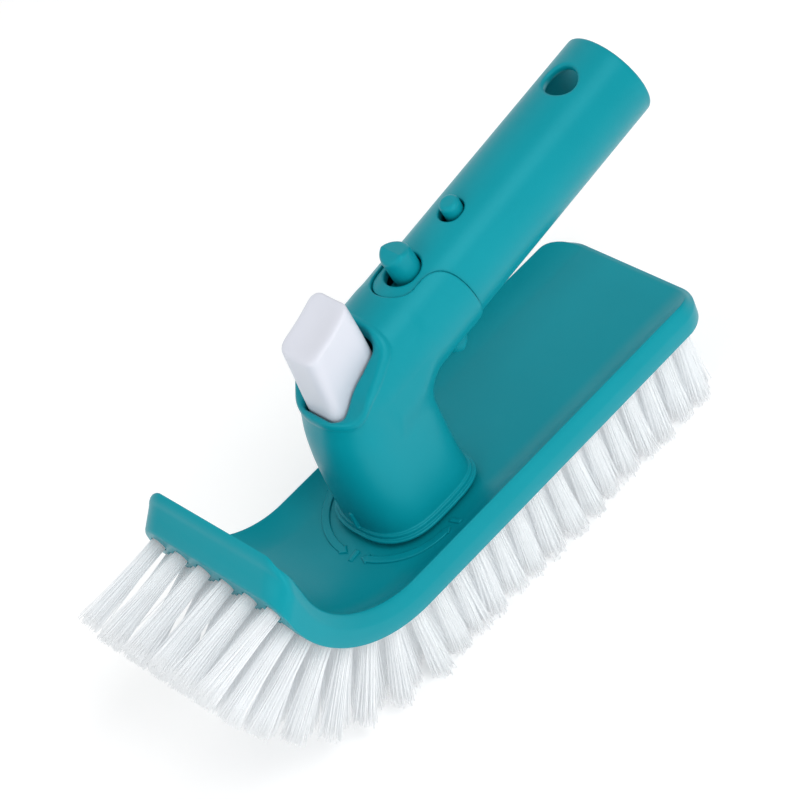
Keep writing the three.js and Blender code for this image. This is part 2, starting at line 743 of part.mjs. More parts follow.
function baseScrew(x, y) {
  const seat = -(COVER.low + BASE_SCREW.headHeight);
  const upsideDown = screw(BASE_SCREW.radius, BASE_SCREW.headRadius, -BASE_SCREW.top, seat,
    BASE_SCREW.headHeight, x, -y);
  return upsideDown.rotate([180, 0, 0]);
}

function detentLeaf() {
  const { heel, radius, halfWidth, low, high } = DETENT;
  const strip = block(heel, 1.2 - radius, -halfWidth, halfWidth, low, high);
  const nub = post(DETENT.nub, POST.flangeTop - CLEARANCE, high, -radius, 0, 12);
  return join(strip, nub);
}

function latchSlide() {
  const plate = block(LATCH.left, LATCH.right, -LATCH.halfWidth, LATCH.halfWidth, LATCH.low, LATCH.high);
  const hole = post(LATCH.holeRadius, 0, 20, LATCH.holeX);
  const window = stemBar(STEM.halfThickness + CLEARANCE, STEM.halfWidth + CLEARANCE + 0.1);
  return cut(plate, hole, window);
}

// The leaning foot of the stem, which drives the latch sideways as it goes down.
function stemBar(halfThickness, halfWidth) {
  const lean = STEM.slope * (STEM.wedgeTop - STEM.wedgeBottom);
  return slab([
    [STEM.x + lean - halfThickness, STEM.wedgeBottom],
    [STEM.x + lean + halfThickness, STEM.wedgeBottom],
    [STEM.x + halfThickness, STEM.wedgeTop],
    [STEM.x - halfThickness, STEM.wedgeTop],
  ], halfWidth);
}

function releaseButton() {
  const { bevel, thumbDish } = BUTTON;
  // The extrusion's bevel grows its outline, so the outline is first drawn in by as much.
  const middle = new THREE.Vector2(-1, 62);
  const drawnIn = BUTTON.outline.map(([x, z]) => {
    const dx = Math.sign(middle.x - x) * bevel;
    const dz = Math.sign(middle.y - z) * bevel;
    return new THREE.Vector2(x + dx, z + dz);
  });
  const geometry = new THREE.ExtrudeGeometry(new THREE.Shape(drawnIn), {
    depth: 2 * (BUTTON.halfWidth - bevel),
    bevelThickness: bevel,
    bevelSize: bevel,
    bevelSegments: 3,
  });
  geometry.rotateX(Math.PI / 2);
  geometry.translate(0, BUTTON.halfWidth - bevel, 0);
  const ball = new THREE.SphereGeometry(thumbDish.radius, 24, 18);
  ball.translate(thumbDish.x, 0, thumbDish.z);
  const { x, halfThickness, halfWidth, wedgeTop } = STEM;
  const stem = block(x - halfThickness, x + halfThickness, -halfWidth, halfWidth, wedgeTop - 0.01, 52);
  return join(cut(solid(geometry), solid(ball)), stem, stemBar(halfThickness, halfWidth));
}

class Helix extends THREE.Curve {
  getPoint(t, target = new THREE.Vector3()) {
    const angle = 2 * Math.PI * SPRING.turns * t;
    const z = SPRING.low + SPRING.wire + t * (SPRING.high - SPRING.low - 2 * SPRING.wire);
    return target.set(SPRING.x + SPRING.radius * Math.cos(angle), SPRING.radius * Math.sin(angle), z);
  }
}

function buttonSpring() {
  const wire = new THREE.Shape().absarc(0, 0, SPRING.wire, 0, 2 * Math.PI);
  const geometry = new THREE.ExtrudeGeometry(new THREE.Shape(wire.getPoints(3).slice(0, -1)), {
    extrudePath: new Helix(),
    steps: SPRING.turns * 8,
    bevelEnabled: false,
  });
  return solid(geometry);
}

// ---------------------------------------------------------------- assembly

add('brush_plate', brushPlate(), TEAL);
for (let pair = 0; pair < TUFT.rowPairs; pair += 1) {
  add(`bristle_row_${String(pair + 1).padStart(2, '0')}`, bristlePair(pair), NYLON);
}
add('swivel_post', swivelPost(), TEAL);
add('post_screw', screw(POST.screwRadius, POST.headRadius, 1.2, POST.headSeat, 2.2), STEEL);
add('yoke', yoke(), TEAL);
add('pole_tube', poleTube(), TEAL);
add('base_cover', baseCover(), TEAL);
baseScrewPlaces().forEach(([x, y], i) => add(`base_screw_${i + 1}`, baseScrew(x, y), STEEL));
add('detent_leaf', detentLeaf(), STEEL);
add('clip_bow', clipBow(), TEAL);
add('clip_arm_upper', clipArm(1), TEAL);
add('clip_arm_lower', clipArm(-1), TEAL);
add('release_button', releaseButton(), WHITE);
add('button_spring', buttonSpring(), STEEL);
add('latch_slide', latchSlide(), STEEL);

export default group;
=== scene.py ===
"""Pool wall brush: the looks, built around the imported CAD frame.

Shapes are written in millimetres with the CAD frame's axes (X along the head, Y across it, Z up), and
with heights counted from the lowest level of the head's dished top. in_metres() turns them into metres.
Moulded pieces are distance fields: negative inside, meshed on a lattice, with every vertex then moved onto
the field's exact surface.
"""

import json
import math

import bmesh
import bpy
import numpy as np
import openvdb
from mathutils import Matrix, Vector


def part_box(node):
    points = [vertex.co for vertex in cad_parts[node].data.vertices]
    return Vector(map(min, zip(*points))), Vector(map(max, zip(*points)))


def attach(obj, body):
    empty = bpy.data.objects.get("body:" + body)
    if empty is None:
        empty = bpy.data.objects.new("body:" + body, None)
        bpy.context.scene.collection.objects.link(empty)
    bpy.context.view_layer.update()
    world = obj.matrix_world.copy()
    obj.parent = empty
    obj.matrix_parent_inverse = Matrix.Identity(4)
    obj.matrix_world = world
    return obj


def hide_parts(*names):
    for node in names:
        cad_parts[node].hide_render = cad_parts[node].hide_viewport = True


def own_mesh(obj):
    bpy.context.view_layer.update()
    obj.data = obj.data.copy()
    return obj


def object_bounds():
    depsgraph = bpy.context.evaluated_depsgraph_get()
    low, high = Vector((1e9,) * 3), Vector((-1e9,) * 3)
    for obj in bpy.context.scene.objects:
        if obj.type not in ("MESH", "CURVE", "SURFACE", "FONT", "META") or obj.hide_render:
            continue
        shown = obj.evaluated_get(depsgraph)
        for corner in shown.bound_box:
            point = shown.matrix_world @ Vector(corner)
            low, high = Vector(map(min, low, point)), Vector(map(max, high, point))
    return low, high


MM = 0.001
BOTTOM = -6.6  # underside of the head
BRISTLE_LENGTH = 31.0
# The frame's origin lies in the plane of the bristles' tips, this far below the lowest level of the dish.
LIFT = np.array([0.0, 0.0, BRISTLE_LENGTH - BOTTOM])

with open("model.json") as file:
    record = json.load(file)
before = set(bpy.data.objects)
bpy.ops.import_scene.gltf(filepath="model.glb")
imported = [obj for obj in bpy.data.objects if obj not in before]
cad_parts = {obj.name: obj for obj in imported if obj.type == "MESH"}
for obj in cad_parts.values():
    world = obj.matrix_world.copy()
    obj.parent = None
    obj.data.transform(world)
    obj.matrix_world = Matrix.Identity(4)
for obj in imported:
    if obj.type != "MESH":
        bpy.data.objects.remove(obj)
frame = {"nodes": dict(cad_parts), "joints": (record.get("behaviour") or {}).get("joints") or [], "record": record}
cad_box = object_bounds()


def in_metres(points):
    return ((points + LIFT) * MM).tolist()


def in_millimetres(point):
    return np.array(point) / MM - LIFT


# ------------------------------------------------------------------ measures taken from the frame

def node_box(node):
    """Lowest and highest corner of a CAD node in millimetres."""
    low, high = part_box(node)
    return in_millimetres(low), in_millimetres(high)


def joint(name):
    return next(j for j in frame["joints"] if j["name"] == name)


ROW_NODES = sorted(n for n in frame["nodes"] if n.startswith("bristle_row_"))
HEAD_LOW, HEAD_HIGH = node_box("brush_plate")
YOKE_LOW, YOKE_HIGH = node_box("yoke")
TIPS_Z = BOTTOM - BRISTLE_LENGTH

# Head, in the unrolled plan: s along, w across, h above the dish level.
HALF_WIDTH = HEAD_HIGH[1]
END_X = HEAD_HIGH[0]
RIM = 3.6
RIM_INSET = 2.3
RIDGE = -0.8
END_CORNER = 10.4
CURL_CORNER = 8.4
CURL_START = -20.1
CURL_RADIUS = 34.6
CURL_TURN = math.radians(83.0)  # the head rolls up through this turn and then runs straight on
CURL_STRAIGHT = 8.0
HEAD_START = CURL_START - CURL_RADIUS * CURL_TURN - CURL_STRAIGHT  # bottom edge of the curled end
RIDGE_REACH = 5.6  # by which the ridge and the rim go on past the bottom edge there
RIM_REACH = 8.6
DISH_FLAT = 19.0
DISH_POWER = 1.8
LIP_DROP = 1.3
LIP_WIDTH = 9.0

# Spigot frame: u runs from the open end to the elbow, v across, r up.
UPPER_HINGE = in_millimetres(joint("upper_arm_squeeze")["pos_m"])
LOWER_HINGE = in_millimetres(joint("lower_arm_squeeze")["pos_m"])
NORMAL = (UPPER_HINGE - LOWER_HINGE) / np.linalg.norm(UPPER_HINGE - LOWER_HINGE)
ALONG = np.array([NORMAL[2], 0, -NORMAL[0]])
HINGE_U = 42.0
OPEN_END = (UPPER_HINGE + LOWER_HINGE) / 2 + HINGE_U * ALONG
TUBE_R = 15.0
BORE_R = 12.0
REDUCED_R = 13.6
TUBE_LENGTH = 108.6
CROSS_HOLE_U = 15.4
CROSS_HOLE_R = 5.2
COLLAR_R = 15.9
COLLAR_RIM = 80.6
COLLAR_END = 118.0
COLLAR_ROUND = 9.0  # rounding where the collar's rim turns into its notch
NOTCH_END = 98.8
NOTCH_HALF = 7.4
GAP = 0.3  # between neighbouring pieces

# Clip: two sprung arms from HINGE_U to ARM_END_U, their middle line at HINGE_R and ARM_END_R off the axis.
HINGE_R = 5.6
ARM_END_U = 96.0
ARM_END_R = 8.9
ARM_HALF_WIDTH = 4.0
ARM_THICKNESS = 2.0
PIN_U = 65.3
PIN_R = 3.1
PIN_TOP = 18.0
PIN_HOLE = 3.6
PIN_SWING = 1.1  # how far a hole runs on towards the elbow, for the arm's arc
THUMB_U = 87.4
THUMB_R = 4.6
THUMB_TOP = 23.0
THUMB_HOLE = 5.1
THUMB_SWING = 1.4
THUMB_SLOT = 3.0
THUMB_SLOT_R = 3.5

# Button, its stem and its spring.
BUTTON_HEEL = -10.2
BUTTON_FRONT = 10.9
BUTTON_LOW = 44.5
BUTTON_HALF = 7.5
BUTTON_TOP = (-0.2, 75.8)  # x and z of the middle of its sloping top
BUTTON_TOP_SLOPE = math.radians(21.3)
STEM_X = 8.0
STEM_HALF_WIDTH = 3.0
WEDGE_TOP = 15.5  # below this the stem leans towards the front
WEDGE_LOW = 8.7
WEDGE_SLOPE = 0.525
SHELF_LOW, SHELF_HIGH = 30.0, 33.0  # carries the spring
SPRING_X = 0.3
SPRING_LOW, SPRING_HIGH = 33.4, 44.1
COIL_RADIUS = 4.0
WIRE_RADIUS = 0.55
COILS = 5

# Foot of the elbow.
FOOT_LEVEL = 4.5  # the section that the flange and the cover's recess follow
FOOT_LOW = 1.9
COVER_TOP = 4.6
BASE_SCREW_X = 6.0
BASE_SCREW_Y = 11.3
BASE_SCREW_HOLE = 1.6
BASE_SCREW_TOP = 12.3


# ------------------------------------------------------------------ distance fields

def smooth_min(a, b, k):
    h = np.maximum(k - np.abs(a - b), 0) / k
    return np.minimum(a, b) - h * h * k / 4


def smooth_max(a, b, k):
    return -smooth_min(-a, -b, k)


def cut(a, b, k=0.4):
    """a with b taken away, and the new edge rounded over about k."""
    return smooth_max(a, -b, k)


def length(*parts):
    return np.sqrt(sum(p * p for p in parts))


def box_field(x, y, z, centre, half, radius=0.0):
    d = [np.abs(c - m) - (h - radius) for c, m, h in zip((x, y, z), centre, half)]
    outside = length(*[np.maximum(c, 0) for c in d])
    return outside + np.minimum(np.maximum(np.maximum(d[0], d[1]), d[2]), 0) - radius


def spigot_axes(x, y, z):
    """World to spigot axes: u from the open end to the elbow, v across, r up."""
    dx, dy, dz = x - OPEN_END[0], y - OPEN_END[1], z - OPEN_END[2]
    u = -(dx * ALONG[0] + dz * ALONG[2])
    return u, dy, dx * NORMAL[0] + dz * NORMAL[2]


def from_spigot(points):
    """Spigot axes back to the world."""
    u, v, r = points[:, 0:1], points[:, 1:2], points[:, 2:3]
    return OPEN_END - u * ALONG + v * np.array([0, 1, 0]) + r * NORMAL


def field_mesh(name, field, low, high, cell, warp=None):
    """A closed mesh where field is zero. warp moves its points, for a piece modelled in its own axes."""
    axes = [np.arange(a - 2 * cell, b + 3 * cell, cell) for a, b in zip(low, high)]
    grid_points = np.meshgrid(*axes, indexing="ij")
    values = np.clip(field(*grid_points), -3 * cell, 3 * cell).astype(np.float32)
    grid = openvdb.FloatGrid(3 * cell)
    grid.copyFromArray(values)
    points, quads = grid.convertToQuads(isovalue=0.0)
    points = points * cell + np.array([a[0] for a in axes])
    points, normals = settle(field, points, cell)
    if warp is not None:
        tips = warp(points + normals * 0.01)
        points = warp(points)
        normals = tips - points
    # Faces point outwards: compare one way round with the field's gradient.
    a, b, c = points[quads[:, 0]], points[quads[:, 1]], points[quads[:, 2]]
    facing = np.einsum("ij,ij->i", np.cross(b - a, c - a), normals[quads[:, 0]])
    if np.median(facing) < 0:
        quads = quads[:, ::-1]
    normals = normals / np.maximum(np.linalg.norm(normals, axis=1, keepdims=True), 1e-9)
    mesh = bpy.data.meshes.new(name)
    mesh.from_pydata(in_metres(points), [], quads.tolist())
    mesh.polygons.foreach_set("use_smooth", [True] * len(mesh.polygons))
    mesh.normals_split_custom_set_from_vertices(normals.tolist())
    return link(name, mesh)


def settle(field, points, cell):
    """Points moved onto the field's zero along its gradient, and the gradient there."""
    step = cell * 0.1
    for _ in range(3):
        value = field(*points.T)
        gradient = np.stack([
            field(*(points + step * np.eye(3)[k]).T) - field(*(points - step * np.eye(3)[k]).T)
            for k in range(3)], axis=1) / (2 * step)
        steep = np.maximum((gradient ** 2).sum(axis=1, keepdims=True), 0.05)
        move = -value[:, None] * gradient / steep
        size = np.linalg.norm(move, axis=1, keepdims=True)
        points = points + move * np.minimum(1, 0.5 * cell / np.maximum(size, 1e-9))
    return points, gradient


def link(name, mesh):
    piece = bpy.data.objects.new(name, mesh)
    bpy.context.scene.collection.objects.link(piece)
    return piece


def place(s, w, h):
    """Unrolled head coordinates to the world."""
    turn = turn_at(s)
    straight = CURL_START - s - turn * CURL_RADIUS  # past the roll, or (negative) before it
    reach = CURL_RADIUS - h
    x = CURL_START - reach * np.sin(turn) - straight * np.cos(turn)
    z = CURL_RADIUS - reach * np.cos(turn) + straight * np.sin(turn)
    return np.stack([x, w, z], axis=-1)


def turn_at(s):
    """Turn of the head at unrolled length s."""
    return np.clip((CURL_START - s) / CURL_RADIUS, 0, CURL_TURN)


# ------------------------------------------------------------------ materials

def node_material(name, slot_colour, roughness, bump, scale, variation=0.06, subsurface=0.0, metallic=0.0):
    """A moulded or drawn surface: base colour drifting a little, uneven roughness and a fine bump."""
    material = bpy.data.materials.new(name)
    material.use_nodes = True
    tree = material.node_tree
    shader = tree.nodes["Principled BSDF"]
    coordinates = tree.nodes.new("ShaderNodeTexCoord")

    def noise(noise_scale, detail):
        texture = tree.nodes.new("ShaderNodeTexNoise")
        texture.inputs["Scale"].default_value = noise_scale
        texture.inputs["Detail"].default_value = detail
        tree.links.new(coordinates.outputs["Object"], texture.inputs["Vector"])
        return texture

    def ramp(source, low, high):
        node = tree.nodes.new("ShaderNodeMapRange")
        node.inputs["From Min"].default_value = 0.3
        node.inputs["From Max"].default_value = 0.7
        node.inputs["To Min"].default_value = low
        node.inputs["To Max"].default_value = high
        tree.links.new(source, node.inputs["Value"])
        return node

    broad = noise(14.0, 3.0)
    mix = tree.nodes.new("ShaderNodeMix")
    mix.data_type = "RGBA"
    darker = [c * (1 - variation) for c in slot_colour]
    lighter = [min(c * (1 + variation) + variation * 0.02, 1) for c in slot_colour]
    mix.inputs["A"].default_value = (*darker, 1)
    mix.inputs["B"].default_value = (*lighter, 1)
    tree.links.new(ramp(broad.outputs["Fac"], 0.0, 1.0).outputs["Result"], mix.inputs["Factor"])
    tree.links.new(mix.outputs["Result"], shader.inputs["Base Color"])

    fine = noise(scale, 4.0)
    rough = ramp(fine.outputs["Fac"], roughness - 0.04, roughness + 0.05)
    tree.links.new(rough.outputs["Result"], shader.inputs["Roughness"])
    bump_node = tree.nodes.new("ShaderNodeBump")
    bump_node.inputs["Strength"].default_value = bump
    bump_node.inputs["Distance"].default_value = 0.00008
    tree.links.new(fine.outputs["Fac"], bump_node.inputs["Height"])
    tree.links.new(bump_node.outputs["Normal"], shader.inputs["Normal"])

    shader.inputs["Metallic"].default_value = metallic
    if subsurface:
        shader.inputs["Subsurface Weight"].default_value = subsurface
        shader.inputs["Subsurface Radius"].default_value = (0.004, 0.004, 0.004)
        shader.inputs["Subsurface Scale"].default_value = 0.4
    return material


TEAL = node_material("teal_moulding", (0.0005, 0.262, 0.320), 0.36, 0.25, 2600.0)
TEAL.node_tree.nodes["Principled BSDF"].inputs["Specular IOR Level"].default_value = 0.42
TEAL.node_tree.nodes["Principled BSDF"].inputs["Specular Tint"].default_value = (0.25, 0.85, 0.95, 1)
WHITE = node_material("white_moulding", (0.66, 0.68, 0.75), 0.40, 0.15, 2200.0, 0.015, 0.15)
NYLON = node_material("nylon_filament", (0.93, 0.945, 0.955), 0.42, 0.05, 900.0, 0.02, 0.0)
STEEL = node_material("plain_steel", (0.52, 0.53, 0.55), 0.32, 0.20, 3000.0, 0.05, 0.0, 1.0)


def let_light_through(material, share):
    """Part of the light that falls on the far side of a thin filament comes out on this one."""
    tree = material.node_tree
    shader = tree.nodes["Principled BSDF"]
    translucent = tree.nodes.new("ShaderNodeBsdfTranslucent")
    mix = tree.nodes.new("ShaderNodeMixShader")
    mix.inputs["Fac"].default_value = share
    colour = shader.inputs["Base Color"].links[0].from_socket
    tree.links.new(colour, translucent.inputs["Color"])
    tree.links.new(shader.outputs["BSDF"], mix.inputs[1])
    tree.links.new(translucent.outputs["BSDF"], mix.inputs[2])
    tree.links.new(mix.outputs["Shader"], tree.nodes["Material Output"].inputs["Surface"])


let_light_through(NYLON, 0.40)
# Painted light: the filaments glow a little on their own. This painted brightening lifts the shade in the gaps
# between and under the tufts.
NYLON.node_tree.nodes["Principled BSDF"].inputs["Emission Color"].default_value = (0.96, 0.98, 1.0, 1)
NYLON.node_tree.nodes["Principled BSDF"].inputs["Emission Strength"].default_value = 0.15
SLOTS = {"teal_plastic": TEAL, "white_plastic": WHITE, "nylon_bristle": NYLON, "steel": STEEL}


def finish_piece(piece, slot_name, body, *nodes):
    """Material, record slot, body and the CAD nodes that a piece stands for."""
    piece.data.materials.clear()
    piece.data.materials.append(SLOTS[slot_name])
    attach(piece, body)
    if nodes:
        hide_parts(*nodes)
    return piece


# ------------------------------------------------------------------ yoke

COLUMN_Z = [1.0, 4.5, 12.0, 22.0, 31.0, 38.0, 44.0, 50.0, 66.0]
COLUMN_HEEL = [-14.5, -14.6, -15.2, -15.6, -15.3, -14.4, -13.1, -12.1, -11.8]
COLUMN_FRONT = [21.7, 21.6, 21.0, 20.7, 20.7, 20.8, 20.9, 21.0, 21.0]
COLUMN_HALF = [17.1, 17.0, 16.5, 16.1, 15.9, 15.9, 15.9, 15.9, 15.9]
COLUMN_HEEL_POWER = [2.6, 2.6, 2.5, 2.4, 2.4, 2.4, 2.3, 2.3, 2.3]
COLUMN_FRONT_POWER = 3.6
# Rim of the button's pocket: level at the heel, then climbing to the tube.
POCKET_RIM_X = [-30.0, -11.0, -7.6, -5.2, -3.1, 4.2, 11.3, 18.0]
POCKET_RIM_Z = [49.0, 49.0, 49.2, 51.0, 53.1, 57.3, 61.0, 64.4]
POCKET_FRONT = 11.3


def curve(at, stations, values):
    """A smooth curve through the stations (cubic Hermite), held level beyond both ends."""
    stations, values = np.array(stations), np.array(values)
    slopes = np.gradient(values, stations)
    slopes[0] = slopes[-1] = 0.0
    i = np.clip(np.searchsorted(stations, at) - 1, 0, len(stations) - 2)
    width = stations[i + 1] - stations[i]
    t = np.clip((at - stations[i]) / width, 0, 1)
    rise = 3 * t * t - 2 * t ** 3
    return (values[i] * (1 - rise) + values[i + 1] * rise
            + width * (slopes[i] * t * (1 - t) ** 2 - slopes[i + 1] * t * t * (1 - t)))


def column_field(x, y, z, grow=0.0, level=None):
    """The column's rounded section, squarer at the front than at the heel. level freezes the section."""
    at = z if level is None else np.full_like(z, level)
    heel = curve(at, COLUMN_Z, COLUMN_HEEL) - grow
    front = curve(at, COLUMN_Z, COLUMN_FRONT) + 0.8 * grow
    half = curve(at, COLUMN_Z, COLUMN_HALF) + grow
    centre = (heel + front) / 2
    reach = (front - heel) / 2
    blend = np.clip((x - centre) / reach * 0.5 + 0.5, 0, 1)
    heel_power = curve(at, COLUMN_Z, COLUMN_HEEL_POWER)
    power = heel_power + (COLUMN_FRONT_POWER - heel_power) * blend * blend * (3 - 2 * blend)
    a = np.abs((x - centre) / reach)
    b = np.abs(y / half)
    return ((a ** power + b ** power + 1e-9) ** (1 / power) - 1) * np.minimum(reach, half)


def notch_field(u, v):
    """U-shaped notch in the collar, seen along the radial direction, with its mouth towards the open end."""
    centre_u = NOTCH_END - NOTCH_HALF
    return length(np.maximum(u - centre_u, 0), v) - NOTCH_HALF


def rim_field(u, v):
    """The collar's rim with its notch, seen along the radial direction: negative on the collar's side."""
    return smooth_max(COLLAR_RIM - u, -notch_field(u, v), COLLAR_ROUND)


def yoke_field(x, y, z):
    u, v, r = spigot_axes(x, y, z)
    body = elbow_skin(x, y, z, u, v, r)
    body = smooth_min(body, foot_flange(x, y, z), 0.5)
    pointer = box_field(x, y, z, (-14.7, 0, 7.4), (1.1, 0.7, 3.2), 0.4)
    body = smooth_min(body, pointer, 0.5)
    body = cut_pocket(body, x, y, z)
    return cut_hollows(body, x, y, z, u, v, r)


def elbow_skin(x, y, z, u, v, r):
    """The column and the collar, blended, with the collar's rim and notches cut."""
    column = smooth_max(column_field(x, y, z), FOOT_LOW - z, 0.6)
    # Above the tube's axis the column is rounded over like the collar.
    hood = np.where(r > 0, length(v, r), np.abs(v) + 0.06 * r) - COLLAR_R
    column = smooth_max(column, hood, 2.0)
    column = smooth_max(column, r - COLLAR_R, 2.0)
    collar = length(v, r) - COLLAR_R
    collar = smooth_max(collar, u - COLLAR_END, 1.0)
    body = smooth_max(smooth_min(column, collar, 6.0), hood - 0.1, 0.6)
    return smooth_max(body, rim_field(u, v), 0.5)


def foot_flange(x, y, z):
    """Two steps round the foot: a wide low one and a narrower one that stands above it."""
    wide = smooth_max(column_field(x, y, z, 1.75, FOOT_LEVEL), np.abs(z - 2.45) - 0.55, 0.4)
    narrow = smooth_max(column_field(x, y, z, 0.8, FOOT_LEVEL), np.abs(z - 3.3) - 1.1, 0.4)
    return smooth_min(wide, narrow, 0.3)


def cut_pocket(body, x, y, z):
    """The slanted rim over the button's pocket with its raised lip, and the pocket itself."""
    above_rim = (curve(x, POCKET_RIM_X, POCKET_RIM_Z) - z) * 0.88
    opening = smooth_max(above_rim, x - POCKET_FRONT, 3.5)
    lip = smooth_max(body - 0.25, opening - 1.8, 0.9)
    body = cut(smooth_min(body, lip, 1.2), opening, 1.1)
    pocket = box_field(x, y, z, (0.35, 0, 57.1), (10.95, BUTTON_HALF + 0.4, 20.0), 3.4)
    return cut(body, pocket, 1.6)


def cut_hollows(body, x, y, z, u, v, r):
    """Hollow foot and column, the stem's slot in the shelf, the tube's bore, the foot's recess and holes."""
    lower = box_field(x, y, z, (3.5, 0, SHELF_LOW - 16), (14.9, 9.2, 16.0), 0.5)
    upper = box_field(x, y, z, (1.05, 0, SHELF_HIGH + 4), (10.25, 9.2, 4.0), 0.5)
    slot = box_field(x, y, z, (STEM_X, 0, 31.5), (2.0, STEM_HALF_WIDTH + 0.6, 4.0), 0.3)
    body = cut(cut(cut(body, lower), upper), slot)
    bore = smooth_max(length(v, r) - REDUCED_R - GAP, u - TUBE_LENGTH - GAP, 0.3)
    body = cut(body, bore, 0.4)
    body = cut(body, smooth_max(length(v, r) - BORE_R, u - COLLAR_END - 1.2, 0.3), 0.4)
    recess = smooth_max(column_field(x, y, z, -1.15, FOOT_LEVEL), z - COVER_TOP, 0.3)
    body = cut(body, recess, 0.3)
    for hole_x in (-BASE_SCREW_X, BASE_SCREW_X):
        for hole_y in (-BASE_SCREW_Y, BASE_SCREW_Y):
            hole = length(x - hole_x, y - hole_y) - BASE_SCREW_HOLE
            body = cut(body, smooth_max(hole, z - BASE_SCREW_TOP, 0.2), 0.2)
    return body


def build_yoke(cell):
    piece = field_mesh("elbow_moulding", yoke_field, YOKE_LOW, YOKE_HIGH, cell)
    return finish_piece(piece, "teal_plastic", "elbow", "yoke")


# ------------------------------------------------------------------ spigot

def spigot_field(u, v, r):
    radius = length(v, r)
    # Full size up to the collar's rim and into its notch, turned down inside the collar.
    outer = smooth_max(radius - TUBE_R, GAP - rim_field(u, v), 0.3)
    outer = smooth_max(outer, -u, 1.1)
    inner_part = smooth_max(radius - REDUCED_R, u - TUBE_LENGTH, 0.6)
    inner_part = np.maximum(inner_part, COLLAR_RIM - 2.6 - u)
    body = cut(np.minimum(outer, inner_part), radius - BORE_R, 0.5)
    body = cut(body, length(u - CROSS_HOLE_U, v) - CROSS_HOLE_R, 1.5)
    body = cut(body, swing_hole(u, v, PIN_U, PIN_HOLE, PIN_SWING), 0.7)
    slot_end = length(u - THUMB_U - THUMB_SLOT, v) - THUMB_SLOT_R
    return cut(body, smooth_min(swing_hole(u, v, THUMB_U, THUMB_HOLE, THUMB_SWING), slot_end, 1.5), 0.9)


def swing_hole(u, v, centre, radius, swing):
    """A hole that runs on towards the elbow, so that an arm's stud can swing in."""
    return length(np.maximum(np.abs(u - centre - swing / 2) - swing / 2, 0), v) - radius


def build_spigot(cell):
    low = (0, -TUBE_R, -TUBE_R)
    high = (TUBE_LENGTH, TUBE_R, TUBE_R)
    piece = field_mesh("spigot_tube", spigot_field, low, high, cell, from_spigot)
    return finish_piece(piece, "teal_plastic", "elbow", "pole_tube")


def arm_field(u, v, r):
    """Upper clip arm: a flat strip with the small domed pin and the big roof-topped thumb button."""
    slope = (ARM_END_R - HINGE_R) / (ARM_END_U - HINGE_U)
    middle = HINGE_R + slope * (u - HINGE_U)
    start = HINGE_U + GAP / 2
    centre = ((start + ARM_END_U) / 2, 0, 0)
    half = ((ARM_END_U - start) / 2, ARM_HALF_WIDTH, ARM_THICKNESS / 2)
    strip = box_field(u, v, r - middle, centre, half, 0.35)
    pin = smooth_max(length(u - PIN_U, v) - PIN_R, r - PIN_TOP, 1.6)
    pin = np.maximum(pin, 6.0 - r)
    thumb = length(u - THUMB_U, v) - THUMB_R
    roof = np.maximum((r - 22.8) * 0.94 + np.abs(u - THUMB_U - 0.6) * 0.34, r - THUMB_TOP)
    thumb = np.maximum(smooth_max(thumb, roof, 1.4), 8.0 - r)
    return smooth_min(smooth_min(strip, pin, 1.0), thumb, 1.0)


def build_arms(cell):
    low = (HINGE_U, -4.8, 4.0)
    high = (ARM_END_U, 4.8, 23.2)
    for node, body, side in (("clip_arm_upper", "upper_arm", 1), ("clip_arm_lower", "lower_arm", -1)):
        def warp(points, side=side):
            return from_spigot(points * np.array([1, side, side]))
        piece = field_mesh(node.replace("clip_arm", "sprung_arm"), arm_field, low, high, cell, warp)
        finish_piece(piece, "teal_plastic", body, node)


def bow_field(u, v, r):
    """The clip's half-round bend, from arm to arm."""
    from_end = HINGE_U - GAP / 2 - u
    bend = length(np.maximum(from_end, 0), r)
    band = np.maximum(np.abs(bend - HINGE_R) - ARM_THICKNESS / 2, -from_end)
    return smooth_max(band, np.abs(v) - ARM_HALF_WIDTH, 0.7)


def build_bow(cell):
    piece = field_mesh("sprung_bow", bow_field, (34, -4, -7), (HINGE_U, 4, 7), cell, from_spigot)
    return finish_piece(piece, "teal_plastic", "elbow", "clip_bow")


# ------------------------------------------------------------------ button

def button_field(x, y, z):
    """A block with a sloping, dished top, and a stem whose foot leans towards the front."""
    middle_x, middle_z = BUTTON_TOP
    cos, sin = math.cos(BUTTON_TOP_SLOPE), math.sin(BUTTON_TOP_SLOPE)
    along = (x - middle_x) * cos + (z - middle_z) * sin
    top = (z - middle_z) * cos - (x - middle_x) * sin
    dish = length(along * 0.8, y, top - 22.3) - 24.4
    back = (x - BUTTON_FRONT + (z - 62.0) * 0.103) / math.hypot(1, 0.103)
    heel = (z - BUTTON_LOW) * 0.018 + BUTTON_HEEL - x
    block = smooth_max(heel, smooth_max(back, x - BUTTON_FRONT, 2.0), 0.5)
    block = smooth_max(block, np.abs(y) - BUTTON_HALF, 4.2)
    block = smooth_max(block, top, 2.6)
    block = smooth_max(block, BUTTON_LOW - z, 0.8)
    block = cut(block, dish, 2.2)
    stem = box_field(x, y, z, (STEM_X, 0, 32.5), (1.0, STEM_HALF_WIDTH, 17.5), 0.2)
    lean = (np.abs(x - STEM_X - WEDGE_SLOPE * (WEDGE_TOP - z)) - 1.0) * 0.885
    foot = np.abs(z - (WEDGE_TOP + WEDGE_LOW) / 2) - (WEDGE_TOP - WEDGE_LOW) / 2
    foot = smooth_max(np.maximum(lean, np.abs(y) - STEM_HALF_WIDTH), foot, 0.2)
    return smooth_min(smooth_min(block, stem, 0.4), foot, 0.2)


def build_button(cell):
    low, high = node_box("release_button")
    piece = field_mesh("thumb_button", button_field, low, high, cell)
    return finish_piece(piece, "white_plastic", "button", "release_button")


